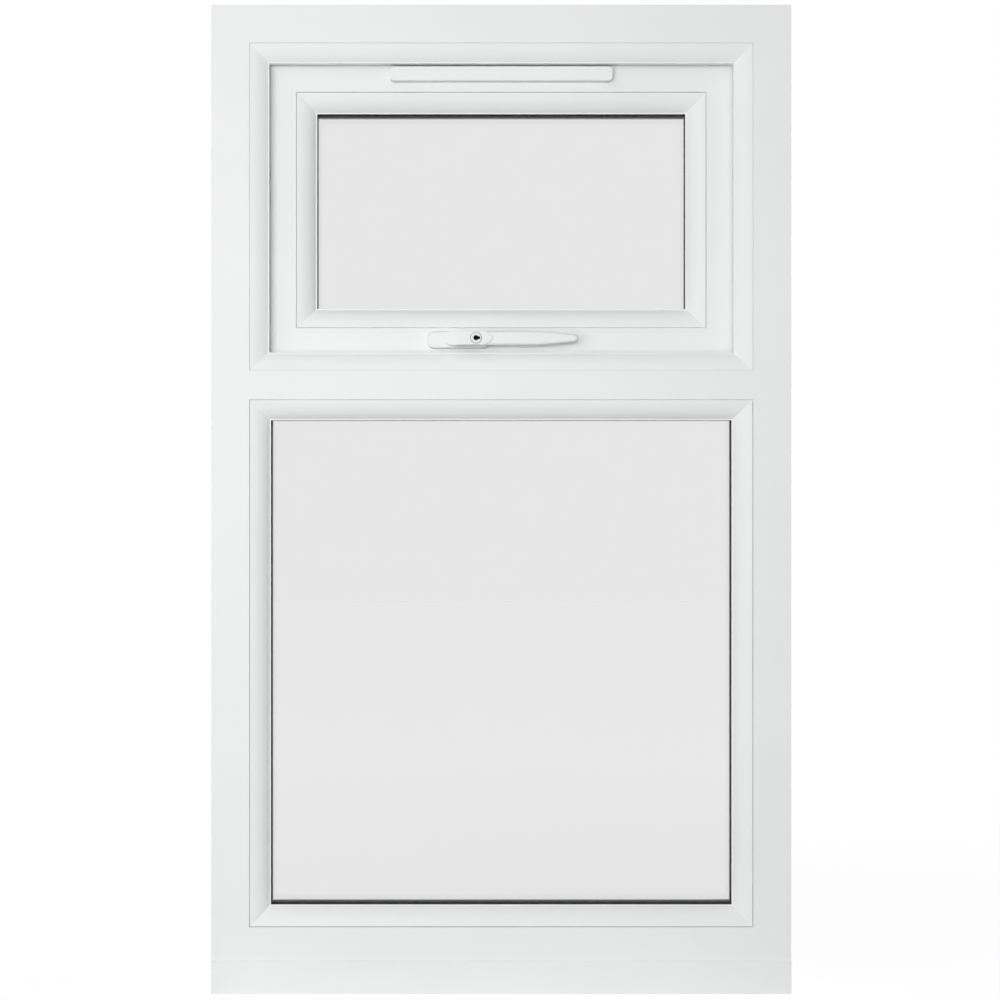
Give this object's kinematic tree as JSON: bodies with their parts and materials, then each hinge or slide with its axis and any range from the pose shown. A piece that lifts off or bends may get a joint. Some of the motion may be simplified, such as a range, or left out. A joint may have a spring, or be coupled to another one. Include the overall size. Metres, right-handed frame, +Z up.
{
  "type": "top-hung window",
  "caption": "White plastic casement window with a top-hung opening sash over a fixed light, trickle vent, locking handle, friction stays and a projecting cill.",
  "frame": {"origin": "under the cill, at the middle of its width and at half the depth of the outer frame", "axes": "+X to the right seen from the room, +Y out to the weather, +Z up"},
  "size_m": [0.61, 0.1593, 1.04],
  "materials": {
    "white_upvc": "semi-gloss",
    "white_paint": "gloss",
    "black_rubber": "matt",
    "dark_spacer": "matt",
    "clear_glass": "polished",
    "plain_steel": "satin",
    "bright_chrome": "bright",
    "packer_plastic": "matt"
  },
  "bodies": {
    "frame": {"cill": "white_upvc", "cill_end_cap_left": "white_upvc", "cill_end_cap_right": "white_upvc", "espag_keeps": "plain_steel", "fixed_bead_bottom": "white_upvc", "fixed_bead_gasket": "black_rubber", "fixed_bead_left": "white_upvc", "fixed_bead_right": "white_upvc", "fixed_bead_top": "white_upvc", "fixed_glazing_packers": "packer_plastic", "fixed_inner_pane": "clear_glass", "fixed_outer_gasket": "black_rubber", "fixed_outer_pane": "clear_glass", "fixed_spacer_bar": "dark_spacer", "frame_bottom_rail": "white_upvc", "frame_head": "white_upvc", "frame_jamb_left": "white_upvc", "frame_jamb_right": "white_upvc", "frame_weather_seal": "black_rubber", "stay_track_left": "plain_steel", "stay_track_right": "plain_steel", "transom": "white_upvc"},
    "sash": {"espag_faceplate": "plain_steel", "espag_gearbox": "plain_steel", "handle_base": "white_paint", "sash_bead_bottom": "white_upvc", "sash_bead_gasket": "black_rubber", "sash_bead_left": "white_upvc", "sash_bead_right": "white_upvc", "sash_bead_top": "white_upvc", "sash_bottom_rail": "white_upvc", "sash_glazing_packers": "packer_plastic", "sash_inner_pane": "clear_glass", "sash_outer_gasket": "black_rubber", "sash_outer_pane": "clear_glass", "sash_spacer_bar": "dark_spacer", "sash_stile_left": "white_upvc", "sash_stile_right": "white_upvc", "sash_top_rail": "white_upvc", "sash_weather_seal": "black_rubber", "stay_sash_bar_left": "plain_steel", "stay_sash_bar_right": "plain_steel", "trickle_vent_base": "white_upvc", "trickle_vent_hood": "white_upvc"},
    "short_arm_left": {"stay_short_arm_left": "plain_steel"},
    "short_arm_right": {"stay_short_arm_right": "plain_steel"},
    "long_arm_left": {"stay_long_arm_left": "plain_steel"},
    "long_arm_right": {"stay_long_arm_right": "plain_steel"},
    "handle": {"handle_lever": "white_paint", "handle_spindle": "plain_steel", "espag_pinion": "plain_steel"},
    "lock_plug": {"lock_barrel": "bright_chrome"},
    "drive_rod": {"espag_drive_rod": "plain_steel", "espag_cams": "plain_steel"},
    "vent_flap": {"trickle_vent_flap": "white_upvc"}
  },
  "joints": [
    {"name": "short_arm_left_turn", "type": "hinge", "parent": "frame", "child": "short_arm_left", "pos_m": [-0.25985, 0.023, 0.91155], "axis": [-1, 0, 0], "range_deg": [0, 42.32]},
    {"name": "sash_swing", "type": "hinge", "parent": "short_arm_left", "child": "sash", "pos_m": [-0.25985, 0.01546, 0.974], "axis": [1, 0, 0], "range_deg": [0, 86.82]},
    {"name": "short_arm_right_turn", "type": "hinge", "parent": "frame", "child": "short_arm_right", "pos_m": [0.25985, 0.023, 0.91155], "axis": [-1, 0, 0], "range_deg": [0, 42.32]},
    {"name": "long_arm_left_turn", "type": "hinge", "parent": "frame", "child": "long_arm_left", "pos_m": [-0.25705, 0.007, 0.77175], "axis": [-1, 0, 0], "range_deg": [0, 20.66]},
    {"name": "long_arm_right_turn", "type": "hinge", "parent": "frame", "child": "long_arm_right", "pos_m": [0.25705, 0.007, 0.77175], "axis": [-1, 0, 0], "range_deg": [0, 20.66]},
    {"name": "handle_turn", "type": "hinge", "parent": "sash", "child": "handle", "pos_m": [-0.0455, -0.0112, 0.689], "axis": [0, -1, 0], "range_deg": [0, 90]},
    {"name": "drive_rod_slide", "type": "slide", "parent": "sash", "child": "drive_rod", "axis": [1, 0, 0], "range_m": [0, 0.0119]},
    {"name": "lock_turn", "type": "hinge", "parent": "handle", "child": "lock_plug", "pos_m": [-0.0264, -0.0457, 0.689], "axis": [0, -1, 0], "range_deg": [0, 90]},
    {"name": "vent_flap_tilt", "type": "hinge", "parent": "sash", "child": "vent_flap", "pos_m": [0, -0.01275, 0.9643], "axis": [1, 0, 0], "range_deg": [0, 35]}
  ],
  "couplings": [
    {"joint": "short_arm_left_turn", "follows": "sash_swing", "ratio": 0.4817},
    {"joint": "short_arm_right_turn", "follows": "sash_swing", "ratio": 0.4817},
    {"joint": "long_arm_left_turn", "follows": "sash_swing", "ratio": 0.23218},
    {"joint": "long_arm_right_turn", "follows": "sash_swing", "ratio": 0.23218},
    {"joint": "drive_rod_slide", "follows": "handle_turn", "m_per_rad": 0.0075}
  ]
}
